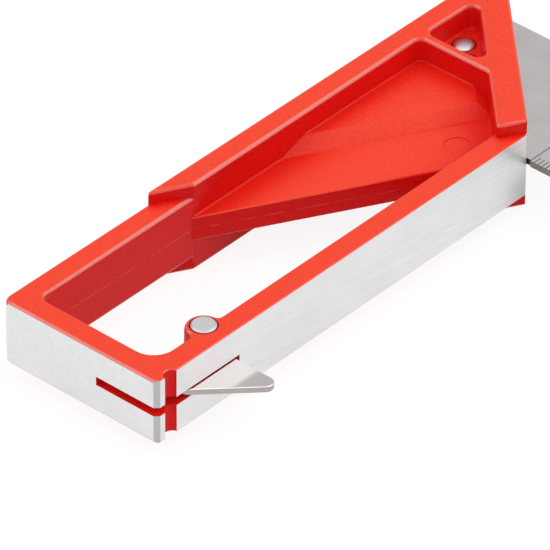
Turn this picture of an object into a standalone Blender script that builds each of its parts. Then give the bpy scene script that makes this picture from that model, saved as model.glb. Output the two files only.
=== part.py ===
"""Try and mitre square: a cast handle with a swing-out ledge and a steel blade.

The frame: the working face is the plane X = 0 and faces +X, the blade points along +X,
+Y runs along the handle from its plain end towards the blade, +Z is up and Z = 0 is the
middle of the thickness. The origin is the middle of the working face. All sizes are in
metres.
"""
import math

import bmesh
import bpy
from mathutils import Vector

# Handle, outer form
STOCK_LENGTH = 0.1096      # end face to the inner corner of the square
STOCK_WIDTH = 0.04055      # working face to back
STOCK_THICK = 0.015        # rails of the open frame
HEAD_RAISE = 0.0031        # the head stands this much above the rails, on both sides
HEAD_SWELL = 0.00005       # and its sides this much outside them
HEAD_END_LAND = 0.0002     # handle beyond the blade's outer edge
HEAD_END_FLAT = 0.00455    # flat end left between the mitre face and the back
BACK_RAIL = 0.00549
WORK_RAIL = 0.00538
END_RAIL = 0.0055
BACK_CORNER_RADIUS = 0.0022
STOCK_EDGE_ROUND = 0.00095  # cast edges of the rails
HEAD_EDGE_ROUND = 0.001    # cast edges of the head
DRAFT = math.radians(1.0)  # walls lean in from the parting plane

# Window in the frame
WINDOW_BACK_RADIUS = 0.0015
WINDOW_WORK_RADIUS = 0.0046
BOSS_RADIUS = 0.0039       # boss round the ledge's pin
BOSS_FILLET = 0.0008

# Head
STRUT_ANGLE = math.radians(30.0)   # the web's free edge, from the handle's length
STRUT_SHORT = 0.0001       # its line crosses X = 0 this far short of the inner corner
STEP_SETBACK = 0.0004      # the raised border's ends stand back from that line
STEP_TIP_RADIUS = 0.0006   # upright corners of the step from rail to head
STEP_CORNER_RADIUS = 0.001
WEB_THICK = 0.0057
BAND_WIDTH = 0.0136        # flat band between the strut's edge and the raised floor
FLOOR_RISE = 0.0023        # raised floor above the band
FLOOR_SLOPE_RUN = 0.0032
FLOOR_SLOPE_TOE = 0.0005
SIDE_SLOPE_FOOT = 0.0058   # from the mitre face to the foot of the floor's slope on that side
WALL_FILLET = 0.0005       # floors run up into the walls with this radius
STRUT_EDGE_ROUND = 0.0004
MITRE_BORDER = 0.0065      # raised border along the mitre face
CROSS_WALL_OFFSET = 0.008  # wall of the cross rib, past the inner corner
CROSS_RIB = 0.0026
POCKET_RADIUS = 0.0015
EJECTOR_MARK_RADIUS = 0.0029
EJECTOR_MARK_DEPTH = 0.00012
EJECTOR_MARK_ALONG = 0.0122  # from where the strut meets the working face, along the strut
EJECTOR_MARK_IN = 0.0068   # and in from the strut's edge

# Machining of the casting
WORK_ALLOWANCE = 0.0005
END_ALLOWANCE = 0.00022
MITRE_ALLOWANCE = 0.00035
CORNER_CHAMFER = 0.00093
INNER_CORNER_BREAK = 0.0006
GROOVE_MIDDLE = 0.00395    # relief groove, from the end face
GROOVE_RADIUS = 0.0017
GROOVE_DEPTH = 0.00135
GROOVE_EDGE_ROUND = 0.0004

# Ledge, its slot and its pin
LEDGE_THICK = 0.0014
LEDGE_REACH = 0.0109       # the tip's reach out of the working face
LEDGE_BACK_EDGE = 0.02267  # square edge, from the end face
LEDGE_POINT_ANGLE = math.radians(45.0)
LEDGE_TIP_RADIUS = 0.00185
LEDGE_EDGE_ROUND = 0.00025
LEDGE_TAIL_DEPTH = 0.0022  # the sloping edge ends this far behind the working face
LEDGE_TAIL_RADIUS = 0.0012
LEDGE_EYE_RADIUS = 0.00303
LEDGE_HEEL_BEHIND = 0.0008  # stop heel, behind the working face
LEDGE_HEEL_WIDTH = 0.0032
PIN_FROM_END = 0.01964
PIN_BEHIND_FACE = 0.00564
PIN_HEAD_RADIUS = 0.00262
PIN_HEAD_THICK = 0.0016
PIN_SHANK_RADIUS = 0.0016
PIN_PROUD = 0.0004
PIN_BEVEL = 0.00035
SLOT_ALONG_END = 0.01584   # the slot's reach from the working face along the end face
SLOT_ALONG_WORK = 0.02369  # and from the end face along the working face
FIT_GAP = 0.0003           # between pieces that lie against each other
RUN_GAP = 0.0001           # between the ledge and its pin

# Blade and its rivets
BLADE_REACH = 0.2
BLADE_THICK = 0.0015
BLADE_SETBACK = 0.0008     # the blade's inner edge, past the inner corner
BLADE_TAIL_WALL = 0.003    # casting left between the blade's inner end and the back
BLADE_CORNER_RADIUS = 0.0005
BLADE_TAIL_RELIEF = 0.0003  # the covered tail's inner edge stands back by this
RIVET_RADIUS = 0.0017
RIVET_HEAD_RADIUS = 0.0023
RIVET_HEAD_SINK = 0.0008
RIVET_DOME = 0.00045
RIVET_PITCH = 0.005658     # between the rivets, along the mitre face
RIVET_SHARE = 0.34716      # their middle, from both square walls of the far pocket, of its side

# Places worked out from the sizes above
END_Y = -STOCK_LENGTH / 2
CORNER_Y = STOCK_LENGTH / 2
BACK_X = -STOCK_WIDTH
WINDOW_BACK_X = BACK_X + BACK_RAIL
WINDOW_WORK_X = -WORK_RAIL
WINDOW_END_Y = END_Y + END_RAIL
HALF_STOCK = STOCK_THICK / 2
HALF_HEAD = HALF_STOCK + HEAD_RAISE
HALF_WEB = WEB_THICK / 2
HALF_FLOOR = HALF_WEB + FLOOR_RISE
BLADE_WIDTH = STOCK_WIDTH - HEAD_END_FLAT - BLADE_SETBACK - HEAD_END_LAND
BLADE_EDGE_Y = CORNER_Y + BLADE_SETBACK
BLADE_TAIL_X = BACK_X + BLADE_TAIL_WALL
HEAD_END_Y = BLADE_EDGE_Y + BLADE_WIDTH + HEAD_END_LAND
CROSS_WALL_Y = CORNER_Y + CROSS_WALL_OFFSET
FAR_POCKET_Y = CROSS_WALL_Y + CROSS_RIB
PIN_X = -PIN_BEHIND_FACE
PIN_Y = END_Y + PIN_FROM_END
SLOT_END_Y = END_Y + SLOT_ALONG_WORK
BLADE_FREE_X = FIT_GAP      # the blade's inner edge is clear of the handle from here on
OUTSIDE = 0.004            # how far cutters reach past the faces that they cut
BURIED = 0.0012            # how far added floors reach into the walls
OVERLAP = 0.00003          # and how far their rims pass the wall's face
ARC_ERROR = 0.000015       # chords of arcs stay this close to them
ROUND_STEPS = 4
TURN_STEPS = 32
LEAST_RADIUS = 0.00003
WELD = 0.000005
CREASE_ANGLE = math.radians(35.0)


def strut_y(x, offset=0.0):
    """Y of the strut's edge line at x, moved by offset towards the window."""
    start = CORNER_Y - STRUT_SHORT
    return start + x / math.tan(STRUT_ANGLE) - offset / math.sin(STRUT_ANGLE)


def mitre_sum(inside):
    """X plus Y on a line inside the mitre face by a distance square to it."""
    return CORNER_Y - inside * math.sqrt(2.0)


def step_y(x):
    """Y of the line along which the raised border ends, at x."""
    return strut_y(x, -STEP_SETBACK)


def step_meets(inside):
    """Point where that line meets a line inside the mitre face."""
    x = (mitre_sum(inside) - step_y(0.0)) / (1 + 1 / math.tan(STRUT_ANGLE))
    return x, step_y(x)


def arc_steps(turn, radius):
    """Number of chords for an arc."""
    if radius < 3 * LEAST_RADIUS:
        return 2
    return max(2, math.ceil(abs(turn) / (2 * math.acos(1 - ARC_ERROR / radius))))


def ring(corners, inset):
    """Points of a closed outline moved inwards by inset.

    Corners are (x, y, radius), anticlockwise; radius 0 is a sharp corner.
    """
    points = []
    for i, (x, y, round_radius) in enumerate(corners):
        here = Vector((x, y))
        into = (here - Vector(corners[i - 1][:2])).normalized()
        out = (Vector(corners[(i + 1) % len(corners)][:2]) - here).normalized()
        turn = math.atan2(into.cross(out), into.dot(out))
        side = 1.0 if turn > 0 else -1.0
        normal = Vector((-into.y, into.x))
        bisector = (normal + Vector((-out.y, out.x))).normalized()
        corner = here + bisector * (inset / math.cos(turn / 2))
        if round_radius == 0:
            points.append((corner.x, corner.y))
            continue
        radius = max(round_radius - side * inset, LEAST_RADIUS)
        centre = corner + bisector * (side * radius / math.cos(turn / 2))
        steps = arc_steps(turn, round_radius)
        start = math.atan2(-side * normal.y, -side * normal.x)
        for k in range(steps + 1):
            angle = start + turn * k / steps
            points.append((centre.x + radius * math.cos(angle), centre.y + radius * math.sin(angle)))
    return points


def finish_mesh(name, bm):
    """Object made from a bmesh, shaded smooth with sharp creases."""
    mesh = bpy.data.meshes.new(name)
    bm.to_mesh(mesh)
    bm.free()
    mesh.shade_smooth()
    mesh.set_sharp_from_angle(angle=CREASE_ANGLE)
    piece = bpy.data.objects.new(name, mesh)
    bpy.context.collection.objects.link(piece)
    return piece


def solid(name, corners, levels):
    """Closed body through rings of one outline; levels are (z, inset) from the bottom up."""
    bm = bmesh.new()
    rings = []
    for z, inset in levels:
        rings.append([bm.verts.new((x, y, z)) for x, y in ring(corners, inset)])
    count = len(rings[0])
    for low, high in zip(rings, rings[1:]):
        for i in range(count):
            j = (i + 1) % count
            bm.faces.new((low[i], low[j], high[j], high[i]))
    bm.faces.new(reversed(rings[0]))
    bm.faces.new(rings[-1])
    return finish_mesh(name, bm)


def turned(name, profile):
    """Body of revolution about Z; the profile is (radius, z) from the bottom centre to the top."""
    bm = bmesh.new()
    verts = [bm.verts.new((r, 0.0, z)) for r, z in profile]
    edges = [bm.edges.new(pair) for pair in zip(verts, verts[1:])]
    bmesh.ops.spin(bm, geom=verts + edges, cent=(0, 0, 0), axis=(0, 0, 1), angle=math.tau,
                   steps=TURN_STEPS, use_merge=True, use_duplicate=False)
    bmesh.ops.remove_doubles(bm, verts=bm.verts, dist=WELD)
    bmesh.ops.recalc_face_normals(bm, faces=bm.faces)
    return finish_mesh(name, bm)


def place(piece, x, y, z=0.0):
    """Put a piece's origin at a point."""
    piece.location = (x, y, z)
    return piece


def combine(piece, other, operation):
    """Boolean of a piece with another body, which becomes a hidden guide."""
    modifier = piece.modifiers.new(other.name, "BOOLEAN")
    modifier.operation = operation
    modifier.solver = "EXACT"
    modifier.object = other
    other.hide_render = True
    other.display_type = "WIRE"


def add(piece, other):
    """Join another body to a piece."""
    combine(piece, other, "UNION")


def cut(piece, other):
    """Take another body away from a piece."""
    combine(piece, other, "DIFFERENCE")


def coat(piece, name, colour, roughness, metallic):
    """Give a piece one plain material."""
    material = bpy.data.materials.new(name)
    material.use_nodes = True
    shader = material.node_tree.nodes["Principled BSDF"]
    shader.inputs["Base Color"].default_value = (*colour, 1.0)
    shader.inputs["Roughness"].default_value = roughness
    shader.inputs["Metallic"].default_value = metallic
    piece.data.materials.append(material)


def box(name, x, y, z):
    """Plain cutter between two limits on each axis."""
    corners = [(x[0], y[0], 0), (x[1], y[0], 0), (x[1], y[1], 0), (x[0], y[1], 0)]
    return solid(name, corners, [(z[0], 0.0), (z[1], 0.0)])


def shaving(name, start, finish, levels=None):
    """Cutter that takes all on the right of the line from start to finish.

    It is upright, or follows the levels if there are any.
    """
    a = Vector(start)
    b = Vector(finish)
    along = (b - a).normalized() * OUTSIDE
    right = Vector((along.y, -along.x))
    corners = [(*(a - along + right), 0), (*(b + along + right), 0), (*(b + along), 0), (*(a - along), 0)]
    high = HALF_HEAD + OUTSIDE
    return solid(name, corners, levels or [(-high, 0.0), (high, 0.0)])


def quarter(first=1):
    """Steps of a quarter turn as pairs: its sine, and 1 less its cosine."""
    turns = [math.pi / 2 * k / ROUND_STEPS for k in range(first, ROUND_STEPS + 1)]
    return [(math.sin(turn), 1 - math.cos(turn)) for turn in turns]


def draft_inset(z):
    """How far a cast wall has leaned in at height z."""
    return abs(z) * math.tan(DRAFT)


def mirrored(upper):
    """Levels for both halves of a body, from those of its upper half."""
    lower = [(-z, inset) for z, inset in reversed(upper) if z > 0]
    return lower + upper


def rounded_levels(half, radius):
    """Levels of a cast body: draft from the middle, rounded top and bottom edges."""
    shoulder = half - radius
    lean = draft_inset(shoulder)
    upper = [(0.0, 0.0), (shoulder, lean)]
    upper += [(shoulder + radius * rise, lean + radius * run) for rise, run in quarter()]
    return mirrored(upper)


def plain_round_levels(half, radius):
    """Levels of a plate with rounded edges and no draft."""
    upper = [(half - radius, 0.0)]
    upper += [(half - radius + radius * rise, radius * run) for rise, run in quarter()]
    return mirrored(upper)


def dished_levels(half):
    """Levels of a floor whose rim curves up into the walls that it is buried in."""
    rim = half + WALL_FILLET
    start = -draft_inset(rim) - OVERLAP
    upper = [(half - OVERLAP, start - BURIED), (rim, start - BURIED), (rim, start)]
    upper += [(rim - WALL_FILLET * fall, start + WALL_FILLET * run) for fall, run in quarter()]
    return mirrored(upper)


def stock_frame():
    """Three rails of the open frame with the boss of the ledge's pin."""
    face_x = WORK_ALLOWANCE
    tongue_back = strut_y(WINDOW_BACK_X) + BACK_RAIL
    tongue_work = CORNER_Y + BURIED
    corners = [
        (BACK_X, END_Y - END_ALLOWANCE, BACK_CORNER_RADIUS),
        (face_x, END_Y - END_ALLOWANCE, 0),
        (face_x, tongue_work, 0),
        (WINDOW_WORK_X, tongue_work, 0),
        (WINDOW_WORK_X, PIN_Y + BOSS_RADIUS, BOSS_FILLET),
        (PIN_X - BOSS_RADIUS, PIN_Y + BOSS_RADIUS, BOSS_RADIUS - OVERLAP),
        (PIN_X - BOSS_RADIUS, PIN_Y - BOSS_RADIUS, BOSS_RADIUS - OVERLAP),
        (WINDOW_WORK_X, PIN_Y - BOSS_RADIUS, BOSS_FILLET),
        (WINDOW_WORK_X, WINDOW_END_Y, WINDOW_WORK_RADIUS),
        (WINDOW_BACK_X, WINDOW_END_Y, WINDOW_BACK_RADIUS),
        (WINDOW_BACK_X, tongue_back, 0),
        (BACK_X, tongue_back, 0),
    ]
    return solid("handle", corners, rounded_levels(HALF_STOCK, STOCK_EDGE_ROUND))


def head_border():
    """Raised border of the head: back, cross rib with the head's end behind it, and mitre side."""
    outer_x = BACK_X - HEAD_SWELL
    inner_x = WINDOW_BACK_X + HEAD_SWELL
    blank_mitre = mitre_sum(-MITRE_ALLOWANCE)
    corners = [
        (outer_x, step_y(outer_x), STEP_TIP_RADIUS),
        (inner_x, step_y(inner_x), STEP_CORNER_RADIUS),
        (inner_x, CROSS_WALL_Y, POCKET_RADIUS),
        (mitre_sum(MITRE_BORDER) - CROSS_WALL_Y, CROSS_WALL_Y, POCKET_RADIUS),
        (*step_meets(MITRE_BORDER), STEP_CORNER_RADIUS),
        (*step_meets(-MITRE_ALLOWANCE), 0),
        (blank_mitre - HEAD_END_Y, HEAD_END_Y, BACK_CORNER_RADIUS),
        (outer_x, HEAD_END_Y, BACK_CORNER_RADIUS),
    ]
    return solid("head_border", corners, rounded_levels(HALF_HEAD, HEAD_EDGE_ROUND))


def pocket_outline():
    """Outline of the head's open pocket, reaching past the strut's line for a cutter to trim."""
    return [
        (WINDOW_BACK_X, strut_y(WINDOW_BACK_X, OUTSIDE), 0),
        (WINDOW_WORK_X, strut_y(WINDOW_WORK_X, OUTSIDE), 0),
        (WINDOW_WORK_X, mitre_sum(MITRE_BORDER) - WINDOW_WORK_X, 0),
        (mitre_sum(MITRE_BORDER) - CROSS_WALL_Y, CROSS_WALL_Y, POCKET_RADIUS),
        (WINDOW_BACK_X, CROSS_WALL_Y, POCKET_RADIUS),
    ]


def window_side(name, offset, levels):
    """Cutter that takes all on the window's side of a line beside the strut's edge."""
    low = BACK_X - 2 * OUTSIDE
    high = 2 * OUTSIDE
    far = offset + BAND_WIDTH + STOCK_WIDTH
    corners = [
        (low, strut_y(low, far), 0),
        (high, strut_y(high, far), 0),
        (high, strut_y(high, offset), 0),
        (low, strut_y(low, offset), 0),
    ]
    return solid(name, corners, mirrored(levels))


def web_plate():
    """Thin web of the head with its free edge rounded."""
    plate = solid("web_plate", pocket_outline(), dished_levels(HALF_WEB))
    radius = STRUT_EDGE_ROUND
    levels = [(HALF_WEB - radius, 0.0)]
    levels += [(HALF_WEB - radius + radius * rise, -radius * run) for rise, run in quarter()]
    levels.append((HALF_WEB + OUTSIDE, -radius))
    cut(plate, window_side("strut_cutter", 0.0, levels))
    return plate


def raised_floor():
    """Thicker floor past the band, with slopes down to the band and to the mitre border."""
    floor = solid("raised_floor", pocket_outline(), dished_levels(HALF_FLOOR))
    toe = FLOOR_SLOPE_TOE
    run = FLOOR_SLOPE_RUN
    levels = [
        (HALF_WEB - toe, toe),
        (HALF_WEB, toe / 2),
        (HALF_WEB + toe / 2, 0.0),
        (HALF_FLOOR - toe / 2, toe - run),
        (HALF_FLOOR, -run),
        (HALF_FLOOR + OUTSIDE, -2 * run),
    ]
    cut(floor, window_side("slope_cutter", -BAND_WIDTH, levels))
    foot = mitre_sum(SIDE_SLOPE_FOOT)
    start = (WINDOW_WORK_X, foot - WINDOW_WORK_X)
    finish = (foot - CROSS_WALL_Y, CROSS_WALL_Y)
    cut(floor, shaving("side_slope_cutter", start, finish, mirrored(levels)))
    return floor


def far_pocket(name, side):
    """Cutter for the pocket behind the cross rib, on the upper (1) or lower (-1) side."""
    corners = [
        (WINDOW_BACK_X, FAR_POCKET_Y, POCKET_RADIUS),
        (mitre_sum(MITRE_BORDER) - FAR_POCKET_Y, FAR_POCKET_Y, POCKET_RADIUS),
        (WINDOW_BACK_X, mitre_sum(MITRE_BORDER) - WINDOW_BACK_X, POCKET_RADIUS),
    ]
    lean = draft_inset(HALF_HEAD)
    radius = HEAD_EDGE_ROUND
    levels = [(HALF_FLOOR + WALL_FILLET * rise, WALL_FILLET * (1 - run)) for run, rise in quarter(0)]
    levels += [(HALF_HEAD - radius + radius * rise, -radius * run - lean) for rise, run in quarter(0)]
    levels.append((HALF_HEAD + OUTSIDE, -radius - lean))
    if side < 0:
        levels = [(-z, inset) for z, inset in reversed(levels)]
    return solid(name, corners, levels)


def groove_cutter():
    """Upright round groove that relieves the inner corner between workpiece and ledge."""
    flare = GROOVE_EDGE_ROUND
    profile = [(0.0, HALF_STOCK + OUTSIDE), (GROOVE_RADIUS + flare, HALF_STOCK + OUTSIDE)]
    profile += [(GROOVE_RADIUS + flare * (1 - run), HALF_STOCK - flare * fall) for run, fall in quarter(0)]
    profile = [(r, -z) for r, z in profile] + [(r, z) for r, z in reversed(profile)]
    cutter = turned("groove_cutter", profile)
    return place(cutter, GROOVE_RADIUS - GROOVE_DEPTH, END_Y + GROOVE_MIDDLE)


def headed_bore(name, x, y, bore_radius, sink_radius, sink_floor):
    """Cutter that clears a pin or rivet: a through bore with a flat-bottomed sink at both ends."""
    top = HALF_HEAD + OUTSIDE
    bore_radius += FIT_GAP
    sink_radius += FIT_GAP
    sink_floor -= FIT_GAP
    upper = [(bore_radius, sink_floor), (sink_radius, sink_floor), (sink_radius, top), (0.0, top)]
    profile = [(r, -z) for r, z in reversed(upper)] + upper
    return place(turned(name, profile), x, y)


def rivet_places():
    """Centres of the two blade rivets, on a line along the mitre face in the far pocket."""
    side = mitre_sum(MITRE_BORDER) - WINDOW_BACK_X - FAR_POCKET_Y
    middle_x = WINDOW_BACK_X + RIVET_SHARE * side
    middle_y = FAR_POCKET_Y + RIVET_SHARE * side
    step = RIVET_PITCH / 2 * math.sqrt(0.5)
    return [(middle_x + step, middle_y - step), (middle_x - step, middle_y + step)]


def ejector_mark():
    """Cutter for the shallow round mark that an ejector pin leaves on the web's upper side."""
    x = -EJECTOR_MARK_ALONG * math.sin(STRUT_ANGLE) - EJECTOR_MARK_IN * math.cos(STRUT_ANGLE)
    y = -EJECTOR_MARK_ALONG * math.cos(STRUT_ANGLE) + EJECTOR_MARK_IN * math.sin(STRUT_ANGLE)
    floor = HALF_WEB - EJECTOR_MARK_DEPTH
    top = HALF_WEB + OUTSIDE
    profile = [(0.0, floor), (EJECTOR_MARK_RADIUS, floor), (EJECTOR_MARK_RADIUS, top), (0.0, top)]
    return place(turned("ejector_mark", profile), x, strut_y(0.0) + y)


def mill_faces(handle):
    """Mill the handle's flat faces, the end's chamfer and the broken inner corner."""
    cut(handle, shaving("work_face_cutter", (0.0, END_Y), (0.0, CORNER_Y)))
    cut(handle, shaving("end_face_cutter", (BACK_X, END_Y), (0.0, END_Y)))
    mitre_end = (CORNER_Y - HEAD_END_Y, HEAD_END_Y)
    cut(handle, shaving("mitre_face_cutter", (0.0, CORNER_Y), mitre_end))
    bevel = CORNER_CHAMFER
    cut(handle, shaving("end_chamfer_cutter", (-bevel, END_Y), (0.0, END_Y + bevel)))
    edge = INNER_CORNER_BREAK
    across = (-edge * math.sqrt(0.5), CORNER_Y + edge * math.sqrt(0.5))
    cut(handle, shaving("corner_break_cutter", (0.0, CORNER_Y - edge), across))


def cut_slots(handle):
    """Saw the slots of the blade and of the ledge."""
    half = BLADE_THICK / 2 + FIT_GAP
    across = (BLADE_TAIL_X - FIT_GAP, OUTSIDE)
    along = (BLADE_EDGE_Y - FIT_GAP, HEAD_END_Y + OUTSIDE)
    cut(handle, box("blade_slot", across, along, (-half, half)))
    half = LEDGE_THICK / 2 + FIT_GAP
    across = (-SLOT_ALONG_END, OUTSIDE)
    along = (END_Y - OUTSIDE, SLOT_END_Y)
    cut(handle, box("ledge_slot", across, along, (-half, half)))


def drill_bores(handle):
    """Drill and sink the bores of the ledge's pin and of the blade's rivets."""
    under = HALF_STOCK + PIN_PROUD - PIN_HEAD_THICK
    cut(handle, headed_bore("pin_bore", PIN_X, PIN_Y, PIN_SHANK_RADIUS, PIN_HEAD_RADIUS, under))
    under = HALF_FLOOR - RIVET_HEAD_SINK
    for i, (x, y) in enumerate(rivet_places()):
        name = f"rivet_bore_{i + 1}"
        cut(handle, headed_bore(name, x, y, RIVET_RADIUS, RIVET_HEAD_RADIUS, under))


def build_handle():
    """The cast and milled handle."""
    handle = stock_frame()
    add(handle, head_border())
    add(handle, web_plate())
    add(handle, raised_floor())
    cut(handle, far_pocket("far_pocket_top", 1))
    cut(handle, far_pocket("far_pocket_under", -1))
    cut(handle, groove_cutter())
    mill_faces(handle)
    cut_slots(handle)
    drill_bores(handle)
    cut(handle, ejector_mark())
    coat(handle, "red_enamel", (0.80, 0.035, 0.02), 0.4, 0.0)
    return handle


def build_blade():
    """Flat steel blade with two rivet holes in its covered end."""
    radius = BLADE_CORNER_RADIUS
    far_y = BLADE_EDGE_Y + BLADE_WIDTH
    tail_y = BLADE_EDGE_Y + BLADE_TAIL_RELIEF
    corners = [
        (BLADE_TAIL_X, tail_y, radius),
        (BLADE_FREE_X, tail_y, 0),
        (BLADE_FREE_X, BLADE_EDGE_Y, 0),
        (BLADE_REACH, BLADE_EDGE_Y, radius),
        (BLADE_REACH, far_y, radius),
        (BLADE_TAIL_X, far_y, radius),
    ]
    half = BLADE_THICK / 2
    blade = solid("blade", corners, [(-half, 0.0), (half, 0.0)])
    for i, (x, y) in enumerate(rivet_places()):
        reach = half + OUTSIDE
        bore = RIVET_RADIUS + FIT_GAP
        profile = [(0.0, -reach), (bore, -reach), (bore, reach), (0.0, reach)]
        cut(blade, place(turned(f"blade_bore_{i + 1}", profile), x, y))
    coat(blade, "blade_steel", (0.56, 0.55, 0.54), 0.38, 1.0)
    return blade


def build_ledge():
    """Swing-out ledge; its origin is on the pin's axis."""
    back = LEDGE_BACK_EDGE - PIN_FROM_END
    round_back = LEDGE_TIP_RADIUS / math.tan(LEDGE_POINT_ANGLE / 2) - LEDGE_TIP_RADIUS
    tip_x = LEDGE_REACH + PIN_BEHIND_FACE + round_back
    tail_x = PIN_BEHIND_FACE - LEDGE_TAIL_DEPTH
    tail_y = back - (tip_x - tail_x) * math.tan(LEDGE_POINT_ANGLE)
    heel_y = SLOT_END_Y - PIN_Y - FIT_GAP
    heel_high = PIN_BEHIND_FACE - LEDGE_HEEL_BEHIND
    heel_low = heel_high - LEDGE_HEEL_WIDTH
    eye = LEDGE_EYE_RADIUS
    tangent = math.atan2(tail_y, tail_x) - math.acos(eye / math.hypot(tail_x, tail_y))
    corners = [
        (-eye, eye / math.tan(tangent / 2), eye - OVERLAP),
        (tail_x, tail_y, LEDGE_TAIL_RADIUS),
        (tip_x, back, LEDGE_TIP_RADIUS),
        (heel_high, back, LEAST_RADIUS),
        (heel_high, heel_y, LEDGE_EDGE_ROUND),
        (heel_low, heel_y, LEDGE_EDGE_ROUND),
        (heel_low, back, LEAST_RADIUS),
        (-eye, back, eye - OVERLAP),
    ]
    ledge = solid("ledge", corners, plain_round_levels(LEDGE_THICK / 2, LEDGE_EDGE_ROUND))
    reach = LEDGE_THICK
    bore = PIN_SHANK_RADIUS + RUN_GAP
    profile = [(0.0, -reach), (bore, -reach), (bore, reach), (0.0, reach)]
    cutter = place(turned("ledge_bore", profile), PIN_X, PIN_Y)
    place(ledge, PIN_X, PIN_Y)
    cut(ledge, cutter)
    coat(ledge, "ledge_steel", (0.72, 0.70, 0.68), 0.25, 1.0)
    return ledge


def build_pin():
    """Headed pin that the ledge turns on; its lower head closes it like a rivet."""
    top = HALF_STOCK + PIN_PROUD
    under = top - PIN_HEAD_THICK
    upper = [(PIN_SHANK_RADIUS, under), (PIN_HEAD_RADIUS, under), (PIN_HEAD_RADIUS, top - PIN_BEVEL)]
    upper += [(PIN_HEAD_RADIUS - PIN_BEVEL, top), (0.0, top)]
    profile = [(r, -z) for r, z in reversed(upper)] + upper
    pin = place(turned("ledge_pin", profile), PIN_X, PIN_Y)
    coat(pin, "pin_steel", (0.62, 0.62, 0.63), 0.3, 1.0)
    return pin


def build_rivets():
    """Two rivets that clamp the blade in the head."""
    under = HALF_FLOOR - RIVET_HEAD_SINK
    upper = [(RIVET_RADIUS, under), (RIVET_HEAD_RADIUS, under)]
    upper += [(RIVET_HEAD_RADIUS * (1 - run), HALF_FLOOR + RIVET_DOME * rise) for rise, run in quarter(0)]
    upper[-1] = (0.0, HALF_FLOOR + RIVET_DOME)
    profile = [(r, -z) for r, z in reversed(upper)] + upper
    for i, (x, y) in enumerate(rivet_places()):
        rivet = place(turned(f"blade_rivet_{i + 1}", profile), x, y)
        coat(rivet, f"rivet_steel_{i + 1}", (0.60, 0.60, 0.61), 0.35, 1.0)


for old in list(bpy.data.objects):
    bpy.data.objects.remove(old, do_unlink=True)
build_handle()
build_blade()
build_ledge()
build_pin()
build_rivets()
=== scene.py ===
"""Looks of a try and mitre square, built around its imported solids.

Lengths are written in millimetres and become metres through MM, angles are in degrees, and
a Step is where a smooth step begins and where it is complete. The frame is the part's own:
X = 0 is the working face, the blade points along +X, +Y runs from the handle's plain end
towards the blade, and Z = 0 is the middle of the thickness. Lean is 1 on a face that lies
flat and 0 on an upright wall.
"""
from __future__ import annotations

import logging
import math
from dataclasses import dataclass
from enum import Enum

import bmesh
import bpy
from mathutils import Matrix, Vector


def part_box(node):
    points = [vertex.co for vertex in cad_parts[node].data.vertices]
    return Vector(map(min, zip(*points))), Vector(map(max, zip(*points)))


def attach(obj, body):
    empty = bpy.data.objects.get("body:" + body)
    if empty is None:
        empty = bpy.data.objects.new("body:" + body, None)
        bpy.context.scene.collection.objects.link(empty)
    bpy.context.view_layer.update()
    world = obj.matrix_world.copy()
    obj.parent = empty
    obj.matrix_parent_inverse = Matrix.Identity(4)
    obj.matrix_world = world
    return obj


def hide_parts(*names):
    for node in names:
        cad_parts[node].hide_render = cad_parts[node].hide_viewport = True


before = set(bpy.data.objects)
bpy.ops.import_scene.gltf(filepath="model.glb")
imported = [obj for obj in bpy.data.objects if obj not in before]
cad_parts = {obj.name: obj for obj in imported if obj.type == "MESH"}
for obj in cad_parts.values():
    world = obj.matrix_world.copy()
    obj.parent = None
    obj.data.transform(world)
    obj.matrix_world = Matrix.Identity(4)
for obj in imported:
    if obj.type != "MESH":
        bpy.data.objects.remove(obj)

LOG = logging.getLogger("square")
MM = 0.001
CENTIMETRE = 10
HALF_CENTIMETRE = 5
WELD = 0.0005  # points that lie closer are one
HOLLOW_RAYS = 8  # rays that look for walls round a place
BEVEL_RAYS = 6  # rays that find the faces beside an edge
TINY = 1e-4  # keeps a quotient finite where a face lies flat

Colour = tuple[float, float, float]
Point = tuple[float, float, float]
Step = tuple[float, float]


class Axis(Enum):
    """Directions that a brushed finish can run in, as places in a vector."""

    X = 0
    Y = 1


class Mark(Enum):
    """Kinds of graduation on the blade, with their lengths."""

    MILLIMETRE = 2.05
    HALF_CENTIMETRE = 4.0
    CENTIMETRE = 7.0


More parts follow.
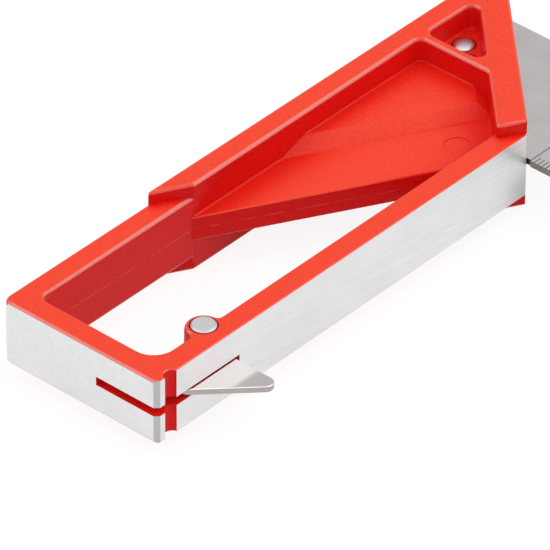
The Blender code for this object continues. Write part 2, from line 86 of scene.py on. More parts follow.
@dataclass(frozen=True)
class Enamel:
    """Sprayed enamel on a die casting: paler over the edges, partly as thinner enamel and partly as a
    painted highlight; darker on the walls and in hollows as painted shade.

    Attributes:
        flat_colour: colour of faces that lie flat.
        wall_colour: colour of upright walls, darker and deeper red as painted shade.
        edge_colour: colour of rounded edges, paler partly where the enamel is thinner and partly as a
            painted highlight.
        speck_colour: colour of the specks, which are painted glints, and of the parting line.
        pooled_colour: deeper red painted into hollows as shade.
        pool_reach: how far round a place its walls make it a hollow.
        pool_range: how hollow a place is where the painted shade begins and is complete.
        pooling: share of that colour there.
        pool_shade: how much darker a hollow is painted.
        roughness_swing: how much the grain varies the roughness.
        grain_size: size of the casting's grain.
        peel_size: size of the orange peel's bumps.
        grain_height: height of grain and orange peel.
        grain_shade: how much the grain varies the colour.
        peel_shade: how much the orange peel does.
        speck_range: noise at which a speck begins and is complete.
        speck_cover: how much a speck covers.
        flat_lean: lean from edge to flat on the outer faces.
        inner_flat_lean: lean from edge to flat on the sloped floors inside.
        wall_lean: lean from edge to wall.
        outer_height: height from the middle at which the outer faces begin.
        rubbed_facing: how squarely an edge faces +X or -Y, towards the lamps, to be paler.
        thin: share of the edge colour on every edge, partly thinner enamel, partly a painted highlight.
        rubbed: what is added to it on the edges that face the lamps, partly worn enamel, partly a
            painted highlight.
    """

    flat_colour: Colour = (0.965, 0.065, 0.027)
    wall_colour: Colour = (0.80, 0.004, 0.005)
    edge_colour: Colour = (0.96, 0.28, 0.24)
    speck_colour: Colour = (0.93, 0.40, 0.36)
    pooled_colour: Colour = (0.94, 0.010, 0.006)
    pool_reach: float = 12.0
    pool_range: Step = (0.04, 0.32)
    pooling: float = 0.85
    pool_shade: float = 0.10
    roughness: float = 0.38
    roughness_swing: float = 0.16
    specular: float = 0.15
    coat: float = 0.05
    coat_roughness: float = 0.2
    grain_size: float = 0.36
    peel_size: float = 1.6
    grain_height: float = 0.014
    grain_shade: float = 0.58
    peel_shade: float = 0.08
    speck_size: float = 0.18
    speck_range: Step = (0.14, 0.24)
    speck_cover: float = 0.16
    flat_lean: Step = (0.82, 0.985)
    inner_flat_lean: Step = (0.50, 0.80)
    wall_lean: Step = (0.46, 0.12)
    outer_height: Step = (5.4, 6.0)
    rubbed_facing: Step = (0.90, 0.97)
    thin: float = 0.3
    rubbed: float = 0.7


@dataclass(frozen=True)
class BrushedMetal:
    """Bare metal with fine parallel scratches.

    Attributes:
        colour: its mean colour.
        roughness: its mean roughness.
        roughness_swing: how much the roughness varies.
        shade_swing: how much the colour varies.
        scratch_width: width of a scratch.
        scratch_length: how many times longer than wide a scratch is.
        streak_width: how many scratches wide a broad streak is.
        scratch_height: height of the relief.
        cloud_size: size of the soft patches.
        along: direction of the scratches.
        skew: how far they turn from it about X.
        sheared_tone: tone of upright sides, which were cut and not brushed, darkened as painted shade.
        sheared_lean: lean from brushed face to cut side.
    """

    colour: Colour
    roughness: float
    roughness_swing: float = 0.08
    shade_swing: float = 0.06
    scratch_width: float = 0.12
    scratch_length: float = 60.0
    streak_width: float = 6.0
    scratch_height: float = 0.004
    cloud_size: float = 9.0
    along: Axis = Axis.X
    skew: float = 0.0
    sheared_tone: float = 1.0
    sheared_lean: Step = (0.6, 0.3)


@dataclass(frozen=True)
class Oxide:
    """Matt dark oxide of etched lines."""

    dark_colour: Colour = (0.055, 0.050, 0.050)
    light_colour: Colour = (0.10, 0.095, 0.095)
    stain_size: float = 0.3
    roughness: float = 0.55
    roughness_swing: float = 0.2


@dataclass(frozen=True)
class Paper:
    """Pale paper of the floor.

    Attributes:
        glow: strength of the white that the camera sees over it.
        wash: share of that white, so that the rest keeps the shadow.
        mirror_glow: strength of the white that metal reflects.
        mirror_wash: share of that white.
    """

    colour: Colour = (0.72, 0.72, 0.72)
    roughness: float = 0.9
    glow: float = 1.12
    wash: float = 0.8
    mirror_glow: float = 1.14
    mirror_wash: float = 0.66


MILLED = BrushedMetal((0.81, 0.81, 0.815), 0.38, along=Axis.Y, skew=6.5, shade_swing=0.16)
BLADE_STEEL = BrushedMetal((0.76, 0.73, 0.725), 0.36, shade_swing=0.16, sheared_tone=0.42)
LEDGE_STEEL = BrushedMetal(
    (0.93, 0.88, 0.865),
    0.13,
    roughness_swing=0.05,
    shade_swing=0.08,
    scratch_height=0.0015,
    sheared_tone=0.46,
)
PIN_STEEL = BrushedMetal((0.78, 0.78, 0.79), 0.50, scratch_width=0.25, scratch_length=3.0)
RIVET_STEEL = BrushedMetal((0.66, 0.66, 0.67), 0.38, scratch_width=0.3, scratch_length=3.0)


class Value:
    """One socket of a shader; Python's operators add the Math nodes that join it to others."""

    def __init__(self, shader: Shader, socket: bpy.types.NodeSocket) -> None:
        """Keep the socket and the shader that it belongs to."""
        self.shader = shader
        self.socket = socket

    def maths(self, operation: str, *operands: Value | float) -> Value:
        """Add a Math node with these operands, in order."""
        return self.shader.node("ShaderNodeMath", {"operation": operation}, dict(enumerate(operands)))

    def __add__(self, other: Value | float) -> Value:
        """Sum."""
        return self.maths("ADD", self, other)

    def __radd__(self, other: float) -> Value:
        """Sum with a number on the left."""
        return self.maths("ADD", other, self)

    def __sub__(self, other: Value | float) -> Value:
        """Difference."""
        return self.maths("SUBTRACT", self, other)

    def __rsub__(self, other: float) -> Value:
        """Difference with a number on the left."""
        return self.maths("SUBTRACT", other, self)

    def __mul__(self, other: Value | float) -> Value:
        """Product."""
        return self.maths("MULTIPLY", self, other)

    def __rmul__(self, other: float) -> Value:
        """Product with a number on the left."""
        return self.maths("MULTIPLY", other, self)

    def __truediv__(self, other: Value | float) -> Value:
        """Quotient."""
        return self.maths("DIVIDE", self, other)

    def __rtruediv__(self, other: float) -> Value:
        """Quotient with a number on the left."""
        return self.maths("DIVIDE", other, self)

    def __gt__(self, other: Value | float) -> Value:
        """1 where this is the greater."""
        return self.maths("GREATER_THAN", self, other)

    def __lt__(self, other: Value | float) -> Value:
        """1 where this is the lesser."""
        return self.maths("LESS_THAN", self, other)

    def __or__(self, other: Value | float) -> Value:
        """The greater of the two, which joins masks."""
        return self.maths("MAXIMUM", self, other)

    def __ror__(self, other: float) -> Value:
        """The greater of the two, with a number on the left."""
        return self.maths("MAXIMUM", other, self)

    def __neg__(self) -> Value:
        """Opposite."""
        return self * -1.0

    def __abs__(self) -> Value:
        """Distance from zero."""
        return self.maths("ABSOLUTE", self)

    def root(self) -> Value:
        """Square root."""
        return self.maths("SQRT", self)

    def ramp(self, start: float, end: float) -> Value:
        """Smooth step from 0 at start to 1 at end.

        Args:
            start: value at which the step begins.
            end: value at which it is complete, which may be the lower.

        Returns:
            A number from 0 to 1.
        """
        limits = {"Value": self, "From Min": start, "From Max": end}
        if end < start:
            limits.update({"From Min": end, "From Max": start, "To Min": 1.0, "To Max": 0.0})
        return self.shader.node("ShaderNodeMapRange", {"interpolation_type": "SMOOTHSTEP"}, limits)


class Shader:
    """One node tree and the shader node that the rest feeds."""

    def __init__(self, owner: bpy.types.Material | bpy.types.World, surface: str) -> None:
        """Take the owner's tree, which so far has only a shader and an output.

        Args:
            owner: the material or world.
            surface: name of the shader node in its tree.
        """
        owner.use_nodes = True
        self.tree = owner.node_tree
        self.surface = self.tree.nodes[surface]

    def add(self, kind: str, settings: dict, inputs: dict) -> bpy.types.Node:
        """Add a node.

        Args:
            kind: the node's type.
            settings: its properties, set first.
            inputs: values or links of its sockets, by name or number.

        Returns:
            The node.
        """
        node = self.tree.nodes.new(kind)
        for name, setting in settings.items():
            setattr(node, name, setting)
        self.feed(node, inputs)
        return node

    def node(self, kind: str, settings: dict, inputs: dict, output: str | int = 0) -> Value:
        """Add a node as add() does and give one of its outputs."""
        return Value(self, self.add(kind, settings, inputs).outputs[output])

    def feed(self, node: bpy.types.Node, inputs: dict) -> None:
        """Set or link sockets of a node.

        Args:
            node: the node.
            inputs: values or links by the socket's name or number.
        """
        for name, source in inputs.items():
            socket = node.inputs[name]
            if isinstance(source, Value):
                self.tree.links.new(source.socket, socket)
            elif socket.type == "RGBA":
                socket.default_value = (*source[:3], 1.0)
            else:
                socket.default_value = source

    def place(self) -> Value:
        """The point on the piece, in its own coordinates."""
        return self.node("ShaderNodeTexCoord", {}, {}, "Object")

    def parts(self, vector: Value) -> list[Value]:
        """The three numbers of a vector."""
        return [Value(self, out) for out in self.add("ShaderNodeSeparateXYZ", {}, {0: vector}).outputs]

    def millimetres(self) -> list[Value]:
        """The point's three coordinates in millimetres."""
        return [part * (1 / MM) for part in self.parts(self.place())]

    def facing(self) -> list[Value]:
        """The three numbers of the surface's direction."""
        return self.parts(self.node("ShaderNodeTexCoord", {}, {}, "Normal"))

    def lean(self) -> Value:
        """1 on a face that lies flat, 0 on an upright wall."""
        return abs(self.facing()[2])

    def hollow(self, reach: float) -> Value:
        """How much the piece itself closes in on a place.

        Args:
            reach: how far round the place its walls count.

        Returns:
            0 in the open, 1 in the bottom of a deep slot.
        """
        settings = {"samples": HOLLOW_RAYS, "only_local": True}
        return 1 - self.node("ShaderNodeAmbientOcclusion", settings, {"Distance": reach * MM}, "AO")

    def mix(self, mask: Value | float, low: Value | Colour, high: Value | Colour) -> Value:
        """Blend two colours.

        Args:
            mask: 0 for the first, 1 for the second.
            low: first colour.
            high: second colour.

        Returns:
            The blended colour.
        """
        return self.node("ShaderNodeMix", {"data_type": "RGBA"}, {0: mask, 6: low, 7: high}, 2)

    def shade(self, colour: Value | Colour, strength: Value) -> Value:
        """Darken or lighten a colour.

        Args:
            colour: the colour.
            strength: the factor, 1 where the colour stays.

        Returns:
            The shaded colour.
        """
        tone = self.node("ShaderNodeCombineXYZ", {}, {0: strength, 1: strength, 2: strength})
        settings = {"data_type": "RGBA", "blend_type": "MULTIPLY"}
        return self.node("ShaderNodeMix", settings, {0: 1.0, 6: colour, 7: tone}, 2)

    def noise(self, vector: Value, size: float, detail: float = 2.0) -> Value:
        """Even noise about 0, with patches of a size and finer ones for each step of detail."""
        inputs = {"Vector": vector, "Scale": 1 / (size * MM), "Detail": detail}
        return self.node("ShaderNodeTexNoise", {"normalize": True}, inputs) - 0.5

    def stretched(self, finish: BrushedMetal) -> Value:
        """Coordinates in which noise becomes scratches.

        Args:
            finish: the metal, which says how long the scratches are and where they run.

        Returns:
            The point on the piece, squeezed along the scratches.
        """
        scale = [1.0, 1.0, 1.0]
        scale[finish.along.value] = 1 / finish.scratch_length
        turn = (math.radians(finish.skew), 0.0, 0.0)
        inputs = {"Vector": self.place(), "Rotation": turn}
        turned = self.node("ShaderNodeVectorRotate", {"rotation_type": "EULER_XYZ"}, inputs)
        return self.node("ShaderNodeVectorMath", {"operation": "MULTIPLY"}, {0: turned, 1: tuple(scale)})

    def relief(self, height: Value, wear: float) -> Value:
        """Normal of a surface with small relief and worn edges.

        Args:
            height: the relief.
            wear: radius that sharp edges are worn to.

        Returns:
            The new normal.
        """
        worn = self.node("ShaderNodeBevel", {"samples": BEVEL_RAYS}, {"Radius": wear * MM})
        return self.node("ShaderNodeBump", {}, {"Height": height, "Distance": MM, "Normal": worn})


@dataclass(frozen=True)
class Skin:
    """What a finish gives to a Principled shader."""

    colour: Value
    roughness: Value
    relief: Value


def metal_skin(shader: Shader, finish: BrushedMetal) -> Skin:
    """Nodes of a brushed metal.

    Args:
        shader: the tree they go in.
        finish: the metal.

    Returns:
        Its colour, roughness and relief.
    """
    squeezed = shader.stretched(finish)
    scratches = shader.noise(squeezed, finish.scratch_width, detail=3.0)
    streaks = shader.noise(squeezed, finish.scratch_width * finish.streak_width)
    clouds = shader.noise(shader.place(), finish.cloud_size)
    tone = 1 + (scratches + streaks + clouds) * finish.shade_swing
    # Painted shade: upright cut sides are darker.
    if finish.sheared_tone < 1:
        cut_side_shade = shader.lean().ramp(*finish.sheared_lean)
        tone = tone * (1 - cut_side_shade * (1 - finish.sheared_tone))
    roughness = finish.roughness + (streaks + clouds) * finish.roughness_swing
    return Skin(shader.shade(finish.colour, tone), roughness, scratches * finish.scratch_height)


def metal_material(name: str, finish: BrushedMetal, wear: float = 0.05) -> bpy.types.Material:
    """Material of one brushed metal all over.

    Args:
        name: the material's name.
        finish: the metal.
        wear: radius that its sharp edges are worn to.

    Returns:
        The material.
    """
    material = bpy.data.materials.new(name)
    shader = Shader(material, "Principled BSDF")
    skin = metal_skin(shader, finish)
    inputs = {
        "Base Color": skin.colour,
        "Roughness": skin.roughness,
        "Metallic": 1.0,
        "Normal": shader.relief(skin.relief, wear),
    }
    shader.feed(shader.surface, inputs)
    return material


def show(
    name: str, data: bpy.types.Mesh | bpy.types.Curve, material: bpy.types.Material
) -> bpy.types.Object:
    """Put a mesh or a curve in the scene.

    Args:
        name: the new object's name.
        data: the mesh or curve.
        material: its only material.

    Returns:
        The object.
    """
    data.materials.clear()
    data.materials.append(material)
    piece = bpy.data.objects.new(name, data)
    bpy.context.scene.collection.objects.link(piece)
    return piece


def smooth_copy(node: str, body: str, material: bpy.types.Material, crease: float) -> None:
    """Welded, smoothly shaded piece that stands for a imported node.

    Args:
        node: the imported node.
        body: the body that it rides on.
        material: its material.
        crease: angle above which an edge stays sharp.
    """
    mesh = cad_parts[node].data.copy()
    mesh.name = f"{node}_dressed"
    bm = bmesh.new()
    bm.from_mesh(mesh)
    bmesh.ops.remove_doubles(bm, verts=bm.verts, dist=WELD * MM)
    bmesh.ops.dissolve_degenerate(bm, edges=bm.edges, dist=WELD * MM)
    bm.to_mesh(mesh)
    bm.free()
    if "custom_normal" in mesh.attributes:
        mesh.attributes.remove(mesh.attributes["custom_normal"])
    mesh.shade_smooth()
    mesh.set_sharp_from_angle(angle=math.radians(crease))
    piece = show(mesh.name, mesh, material)
    weigh = piece.modifiers.new("flats_first", "WEIGHTED_NORMAL")
    weigh.keep_sharp = True
    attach(piece, body)
    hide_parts(node)
    LOG.info("%s: %d faces on body %s", mesh.name, len(mesh.polygons), body)


@dataclass
class Handle:
    """The enamelled casting with its bare milled faces.

    Attributes:
        enamel: its paint.
        milled: the metal of its bare faces.
        blade_setback: from the blade's inner edge back to the corner of working and mitre face.
        end_chamfer: legs of the chamfer between working face and end.
        corner_break: how far before the corner the narrow face that breaks it begins.
        broken_lean: direction of that face, from +X towards +Y.
        plane_depth: how deep behind a milled plane the metal still counts as bare.
        end_facing: Y of a surface's direction below which a corner at the end is buffed bare.
        buffed_corner: how far from the end it is buffed.
        buffed_height: how far from the middle of the thickness it is.
        wear: radius that sharp edges are worn to.
        parting_width: half width of the line where the mould's halves met.
        parting_height: how far it stands proud.
        parting_patch: size of the pieces that it is broken into.
        parting_gaps: noise at which a piece of it begins and is complete.
        parting_cover: how pale it is.
        chamfer_tone: tone of the chamfer at the end, darker as a painted reflection.
        dulled_reach: how far before the corner the bare faces begin to darken, a painted reflection of
            the shadow under the blade.
        dulled_height: Z at which that begins and is complete.
        dulled_shade: how much darker they are there.
        crease: angle above which an edge stays sharp: under the web's 30 degree corner, over
            the facets of a fillet.
    """

    enamel: Enamel = Enamel()
    milled: BrushedMetal = MILLED
    blade_setback: float = 0.8
    end_chamfer: float = 0.93
    corner_break: float = 0.6
    broken_lean: float = 22.5
    plane_depth: float = 0.012
    end_facing: float = -0.6
    buffed_corner: float = 1.3
    buffed_height: float = 6.6
    wear: float = 0.10
    parting_width: float = 0.18
    parting_height: float = 0.03
    parting_patch: float = 2.6
    parting_gaps: Step = (-0.10, 0.08)
    parting_cover: float = 0.24
    chamfer_tone: float = 0.62
    dulled_reach: float = 9.0
    dulled_height: Step = (3.0, -6.0)
    dulled_shade: float = 0.36
    crease: float = 27.0

    def __post_init__(self) -> None:
        """Read the handle's planes from the frame."""
        low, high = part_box("handle")
        self.end_y = low.y / MM
        self.face_x = high.x / MM
        self.corner_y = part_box("blade")[0].y / MM - self.blade_setback

    def milled_masks(self, shader: Shader) -> tuple[Value, Value]:
        """Masks of the bare faces.

        Args:
            shader: the tree they go in.

        Returns:
            The mask of all bare faces, and of the end's narrow chamfer alone.
        """
        x, y, z = shader.millimetres()
        depth = self.plane_depth
        slant = depth * math.sqrt(2)
        working = x > self.face_x - depth
        end = y < self.end_y + depth
        mitre = (x + y) > self.corner_y - slant
        chamfer = (x - y) > self.face_x - self.end_y - self.end_chamfer - slant
        lean = math.radians(self.broken_lean)
        reach = (self.corner_y - self.corner_break) * math.sin(lean)
        broken = (x * math.cos(lean) + y * math.sin(lean)) > reach - depth
        faces_end = shader.facing()[1] < self.end_facing
        buffed = faces_end * (y < self.end_y + self.buffed_corner) * (abs(z) < self.buffed_height)
        return working | end | mitre | chamfer | broken | buffed, chamfer

    def rubbed_edges(self, shader: Shader) -> Value:
        """Edges that face +X or -Y, towards the lamps, where the enamel is paler: partly worn thinner,
        partly a painted highlight.

        Args:
            shader: the tree they go in.

        Returns:
            Their mask, which covers the walls on those sides too.
        """
        across, along, up = shader.facing()
        sideways = (1 - up * up + TINY).root()
        return ((across | -along) / sideways).ramp(*self.enamel.rubbed_facing)

    def parting_line(self, shader: Shader, wall: Value) -> Value:
        """Broken line in the middle of the walls, where the mould's halves met.

        Args:
            shader: the tree it goes in.
            wall: mask of the upright walls.

        Returns:
            Its mask.
        """
        height = abs(shader.millimetres()[2])
        pieces = shader.noise(shader.place(), self.parting_patch).ramp(*self.parting_gaps)
        return height.ramp(self.parting_width, 0.0) * pieces * wall

    def enamel_skin(self, shader: Shader) -> Skin:
        """Nodes of the enamel.

        Args:
            shader: the tree they go in.

        Returns:
            Its colour, roughness and relief.
        """
        paint = self.enamel
        here = shader.place()
        grain = shader.noise(here, paint.grain_size, detail=4.0)
        peel = shader.noise(here, paint.peel_size)
        lean = shader.lean()
        outer = abs(shader.millimetres()[2]).ramp(*paint.outer_height)
        level = lean.ramp(*paint.flat_lean)
        flat = level * outer + lean.ramp(*paint.inner_flat_lean) * (1 - outer)
        # Painted highlight: rounded edges are paler, partly as thinner enamel, and most on the edges
        # that face the lamps.
        pale = (1 - flat) * (outer * self.rubbed_edges(shader) * paint.rubbed + paint.thin)
        colour = shader.mix(pale, paint.flat_colour, paint.edge_colour)
        # Painted shade: upright walls are darker.
        wall = lean.ramp(*paint.wall_lean)
        colour = shader.mix(wall, colour, paint.wall_colour)
        # Painted shade: where the piece closes in on a place, it is deeper red and darker.
        hollow_shade = shader.hollow(paint.pool_reach).ramp(*paint.pool_range)
        colour = shader.mix(hollow_shade * paint.pooling, colour, paint.pooled_colour)
        # Painted glints: pale specks on the slopes and walls; the pale parting line is the mould's seam.
        specks = shader.noise(here, paint.speck_size, detail=1.0).ramp(*paint.speck_range) * (1 - level)
        parting = self.parting_line(shader, wall)
        sparkle_and_parting = specks * paint.speck_cover | parting * self.parting_cover
        colour = shader.mix(sparkle_and_parting, colour, paint.speck_colour)
        tone = 1 - hollow_shade * paint.pool_shade + peel * paint.peel_shade + grain * paint.grain_shade
        roughness = paint.roughness + grain * paint.roughness_swing
        relief = (grain + peel) * paint.grain_height + parting * self.parting_height
        return Skin(shader.shade(colour, tone), roughness, relief)

    def milled_skin(self, shader: Shader, chamfer: Value) -> Skin:
        """Nodes of the bare faces.

        Args:
            shader: the tree they go in.
            chamfer: mask of the end's narrow chamfer.

        Returns:
            Their colour, roughness and relief.
        """
        metal = metal_skin(shader, self.milled)
        _, y, z = shader.millimetres()
        # Painted reflection: the bare faces darken near the corner below the blade, where they would
        # mirror the shadow under it.
        blade_shade = y.ramp(self.corner_y - self.dulled_reach, self.corner_y) * z.ramp(*self.dulled_height)
        # Painted reflection: the end's chamfer is darker.
        tone = 1 - chamfer * (1 - self.chamfer_tone) - blade_shade * self.dulled_shade
        return Skin(shader.shade(metal.colour, tone), metal.roughness, metal.relief)

    def material(self) -> bpy.types.Material:
        """One material that is enamel or bare metal by place.

        Returns:
            The material.
        """
        material = bpy.data.materials.new("handle_finish")
        shader = Shader(material, "Principled BSDF")
        bare, chamfer = self.milled_masks(shader)
        painted = 1 - bare
        enamel = self.enamel_skin(shader)
        metal = self.milled_skin(shader, chamfer)
        relief = enamel.relief * painted + metal.relief * bare
        inputs = {
            "Base Color": shader.mix(bare, enamel.colour, metal.colour),
            "Roughness": enamel.roughness * painted + metal.roughness * bare,
            "Metallic": bare,
            "Coat Weight": painted * self.enamel.coat,
            "Coat Roughness": self.enamel.coat_roughness,
            "Specular IOR Level": self.enamel.specular,
            "Normal": shader.relief(relief, self.wear),
        }
        shader.feed(shader.surface, inputs)
        return material

    def build(self) -> None:
        """Dress the handle."""
        smooth_copy("handle", "square", self.material(), self.crease)


@dataclass
class Blade:
    """The steel strip and its etched graduations.

    Attributes:
        steel: the metal of the strip.
        oxide: the finish of lines and numbers.
        zero: where the graduations begin, beyond the working face.
        line_width: width of a line.
        line_rise: how far lines stand proud of the steel, so that they show.
        line_root: how deep they go into it.
        number_size: size of the numbers.
        number_gap: from a number to its line.
        number_drop: share of that size by which a number's foot lies before its line's end.
        clear_of_tip: plain steel that is left at the tip.
        crease: angle above which an edge stays sharp.
    """

    steel: BrushedMetal = BLADE_STEEL
    oxide: Oxide = Oxide()
    zero: float = 0.3
    line_width: float = 0.22
    line_rise: float = 0.01
    line_root: float = 0.05
    number_size: float = 4.2
    number_gap: float = 0.8
    number_drop: float = 0.7
    clear_of_tip: float = 1.5
    crease: float = 30.0

    def __post_init__(self) -> None:
        """Read the blade's box from the frame."""
        low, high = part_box("blade")
        self.low = low / MM
        self.high = high / MM

    def etched(self) -> bpy.types.Material:
        """Material of lines and numbers.

        Returns:
            The material.
        """
        oxide = self.oxide
        material = bpy.data.materials.new("etched_marks")
        shader = Shader(material, "Principled BSDF")
        stain = shader.noise(shader.place(), oxide.stain_size) + 0.5
        inputs = {
            "Base Color": shader.mix(stain, oxide.dark_colour, oxide.light_colour),
            "Roughness": oxide.roughness + stain * oxide.roughness_swing,
        }
        shader.feed(shader.surface, inputs)
        return material

    def mark_at(self, index: int) -> Mark:
        """Kind of a graduation.

        Args:
            index: its distance from zero in millimetres.

        Returns:
            The kind.
        """
        if index % CENTIMETRE == 0:
            return Mark.CENTIMETRE
        return Mark.HALF_CENTIMETRE if index % HALF_CENTIMETRE == 0 else Mark.MILLIMETRE

    def bar(self, index: int) -> tuple[list[Point], list[tuple[int, ...]]]:
        """Points and faces of one etched line, rooted in the steel.

        Args:
            index: its distance from zero in millimetres.

        Returns:
            Its eight points in metres, and its faces as numbers of points.
        """
        middle = self.zero + index
        left, right = middle - self.line_width / 2, middle + self.line_width / 2
        near, far = self.low.y, self.low.y + self.mark_at(index).value
        plan = [(left, near), (right, near), (right, far), (left, far)]
        points = []
        for z in (self.high.z - self.line_root, self.high.z + self.line_rise):
            points += [(x * MM, y * MM, z * MM) for x, y in plan]
        sides = [(k, (k + 1) % 4, (k + 1) % 4 + 4, k + 4) for k in range(4)]
        return points, [(3, 2, 1, 0), (4, 5, 6, 7), *sides]

    def graduations(self, material: bpy.types.Material) -> None:
        """Draw the etched lines along the inner edge.

        Args:
            material: their material.
        """
        points: list[Point] = []
        faces: list[tuple[int, ...]] = []
        count = int(self.high.x - self.clear_of_tip - self.zero) + 1
        for index in range(count):
            corners, sides = self.bar(index)
            faces += [tuple(corner + len(points) for corner in side) for side in sides]
            points += corners
        mesh = bpy.data.meshes.new("graduations")
        mesh.from_pydata(points, [], faces)
        piece = show("graduations", mesh, material)
        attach(piece, "square")
        LOG.info("graduations: %d lines", count)

    def number(self, centimetres: int, material: bpy.types.Material) -> None:
        """Write one number just before its centimetre line.

        Args:
            centimetres: the number.
            material: its material.
        """
        curve = bpy.data.curves.new(f"number_{centimetres}", "FONT")
        curve.body = str(centimetres)
        curve.size = self.number_size * MM
        curve.align_x = "RIGHT"
        curve.extrude = self.line_rise / 2 * MM
        piece = show(curve.name, curve, material)
        across = self.zero + CENTIMETRE * centimetres - self.number_gap
        up = self.low.y + Mark.CENTIMETRE.value - self.number_size * self.number_drop
        piece.location = Vector((across, up, self.high.z + self.line_rise / 2)) * MM
        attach(piece, "square")
        LOG.info("%s: %.1f mm from the working face", piece.name, across)

    def build(self) -> None:
        """Dress the blade."""
        steel = metal_material("blade_finish", self.steel)
        smooth_copy("blade", "square", steel, self.crease)
        etched = self.etched()
        self.graduations(etched)
        last = int((self.high.x - self.number_size) / CENTIMETRE)
        for centimetres in range(1, last + 1):
            self.number(centimetres, etched)


@dataclass
class SmallSteel:
    """The ledge, its pin and the blade's rivets."""

    ledge: BrushedMetal = LEDGE_STEEL
    pin: BrushedMetal = PIN_STEEL
    rivet: BrushedMetal = RIVET_STEEL
    ledge_crease: float = 50.0
    turned_crease: float = 30.0

    def build(self) -> None:
        """Dress the small pieces."""
        ledge = metal_material("ledge_finish", self.ledge)
        smooth_copy("ledge", "ledge", ledge, self.ledge_crease)
        pin = metal_material("pin_finish", self.pin)
        smooth_copy("ledge_pin", "square", pin, self.turned_crease)
        rivet = metal_material("rivet_finish", self.rivet)
        for index in (1, 2):
            smooth_copy(f"blade_rivet_{index}", "square", rivet, self.turned_crease)


@dataclass(frozen=True)
class Softbox:
    """A square lamp that faces the handle."""

    name: str
    direction: Point
    side: float
    radiance: float


LEFT_SOFTBOX = Softbox("left_softbox", (-0.53, -0.59, 0.60), 800.0, 0.8)
RIGHT_SOFTBOX = Softbox("right_softbox", (0.60, 0.60, 0.53), 1500.0, 0.58)


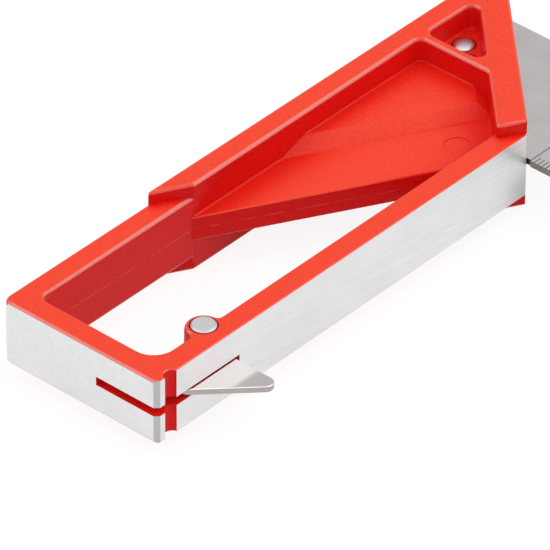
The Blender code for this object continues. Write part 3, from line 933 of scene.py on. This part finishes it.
@dataclass
class Studio:
    """Floor, sky, lamps and camera.

    Attributes:
        camera_azimuth: turn of the view from +Y towards -X.
        camera_elevation: how far the camera looks down.
        camera_roll: how far its right side is raised.
        camera_distance: from the camera to the target, along its view.
        camera_offset: how far the target is to the right of the picture's middle and above it.
        camera_target: a point of the handle near the picture's middle.
        lens_px: focal length in pixels of the photograph.
        image_px: width of the photograph.
        sensor: width of the camera's sensor.
        clip: nearest and farthest distance that the camera sees.
        floor_gap: from the floor up to the square, so that they don't lie in one plane.
        sky_low: strength of the tent round the horizon.
        sky_top: its strength overhead.
        sky_rise: upward part of a direction at which it grows from one to the other.
        softbox_distance: how far the lamps hang from the origin.
    """

    camera_azimuth: float = 41.336
    camera_elevation: float = 36.518
    camera_roll: float = 0.325
    camera_distance: float = 1575.964
    camera_offset: tuple[float, float] = (3.77, 7.12)
    camera_target: Point = (-18.0, 5.2, 0.0)
    lens_px: float = 8009.85
    image_px: float = 550.0
    sensor: float = 36.0
    clip: tuple[float, float] = (10.0, 20000.0)
    paper: Paper = Paper()
    floor_gap: float = 0.2
    floor_radius: float = 3000.0
    floor_sides: int = 64
    sky_low: float = 0.50
    sky_top: float = 1.3
    sky_rise: Step = (0.60, 0.95)
    softboxes: tuple[Softbox, ...] = (LEFT_SOFTBOX, RIGHT_SOFTBOX)
    softbox_distance: float = 1200.0

    def camera(self) -> None:
        """Put the camera at the photograph's place."""
        azimuth = math.radians(self.camera_azimuth)
        elevation = math.radians(self.camera_elevation)
        roll = math.radians(self.camera_roll)
        level = Vector((math.cos(azimuth), math.sin(azimuth), 0.0))
        ahead = Vector((-math.sin(azimuth), math.cos(azimuth), 0.0))
        forward = math.cos(elevation) * ahead - Vector((0.0, 0.0, math.sin(elevation)))
        upright = level.cross(forward)
        right = math.cos(roll) * level + math.sin(roll) * upright
        up = math.cos(roll) * upright - math.sin(roll) * level
        across, rise = self.camera_offset
        place = Vector(self.camera_target) - across * right - rise * up - self.camera_distance * forward
        data = bpy.data.cameras.new("camera")
        data.sensor_width = self.sensor
        data.lens = self.lens_px / self.image_px * self.sensor
        data.clip_start, data.clip_end = (limit * MM for limit in self.clip)
        camera = bpy.data.objects.new("camera", data)
        turn = Matrix((right, up, -forward)).transposed().to_4x4()
        camera.matrix_world = Matrix.Translation(place * MM) @ turn
        bpy.context.scene.collection.objects.link(camera)
        bpy.context.scene.camera = camera

    def floor_material(self) -> bpy.types.Material:
        """Paper that is white in reflections, and to the eye wherever no shadow falls.

        Returns:
            The material.
        """
        paper = self.paper
        material = bpy.data.materials.new("floor_paper")
        shader = Shader(material, "Principled BSDF")
        inputs = {"Base Color": paper.colour, "Roughness": paper.roughness, "Specular IOR Level": 0.0}
        shader.feed(shader.surface, inputs)
        rays = shader.add("ShaderNodeLightPath", {}, {}).outputs
        kinds = ("Camera", "Glossy", "Transmission")
        camera, glossy, through = [Value(shader, rays[f"Is {kind} Ray"]) for kind in kinds]
        sheet = Value(shader, shader.surface.outputs[0])
        white = shader.node("ShaderNodeEmission", {}, {"Strength": paper.mirror_glow})
        lit = shader.node("ShaderNodeEmission", {}, {"Strength": paper.glow})
        mirror = (glossy | through) * paper.mirror_wash
        mirrored = shader.node("ShaderNodeMixShader", {}, {0: mirror, 1: sheet, 2: white})
        seen = shader.node("ShaderNodeMixShader", {}, {0: camera * paper.wash, 1: mirrored, 2: lit})
        shader.feed(shader.tree.nodes["Material Output"], {"Surface": seen})
        return material

    def floor(self) -> None:
        """Lay a plain round floor under the square."""
        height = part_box("handle")[0].z - self.floor_gap * MM
        radius = self.floor_radius * MM
        points = []
        for index in range(self.floor_sides):
            angle = math.tau * index / self.floor_sides
            points.append((radius * math.cos(angle), radius * math.sin(angle), height))
        mesh = bpy.data.meshes.new("floor")
        mesh.from_pydata(points, [], [tuple(range(self.floor_sides))])
        show("floor", mesh, self.floor_material())

    def sky(self) -> None:
        """Hang a soft tent that is brighter overhead than round the horizon."""
        world = bpy.data.worlds.new("tent")
        bpy.context.scene.world = world
        shader = Shader(world, "Background")
        height = shader.parts(shader.node("ShaderNodeTexCoord", {}, {}, "Generated"))[2]
        strength = self.sky_low + height.ramp(*self.sky_rise) * (self.sky_top - self.sky_low)
        shader.feed(shader.surface, {"Color": (1.0, 1.0, 1.0), "Strength": strength})

    def hang(self, softbox: Softbox) -> None:
        """Hang a softbox.

        Args:
            softbox: its name, direction, size and radiance.
        """
        data = bpy.data.lights.new(softbox.name, "AREA")
        data.size = softbox.side * MM
        data.energy = softbox.radiance * math.pi * data.size ** 2
        lamp = bpy.data.objects.new(softbox.name, data)
        direction = Vector(softbox.direction).normalized()
        lamp.location = direction * self.softbox_distance * MM
        lamp.rotation_euler = (-direction).to_track_quat("-Z", "Y").to_euler()
        bpy.context.scene.collection.objects.link(lamp)

    def build(self) -> None:
        """Set up the whole studio."""
        self.camera()
        self.floor()
        self.sky()
        for softbox in self.softboxes:
            self.hang(softbox)
        bpy.context.scene.view_settings.view_transform = "Standard"
        LOG.info("studio: camera, floor, sky and %d softboxes", len(self.softboxes))


def main() -> None:
    """Dress every piece and set the studio up."""
    logging.basicConfig(level=logging.INFO, format="%(name)s: %(message)s")
    Handle().build()
    Blade().build()
    SmallSteel().build()
    Studio().build()


if __name__ == "__main__":
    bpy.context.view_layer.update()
    main()
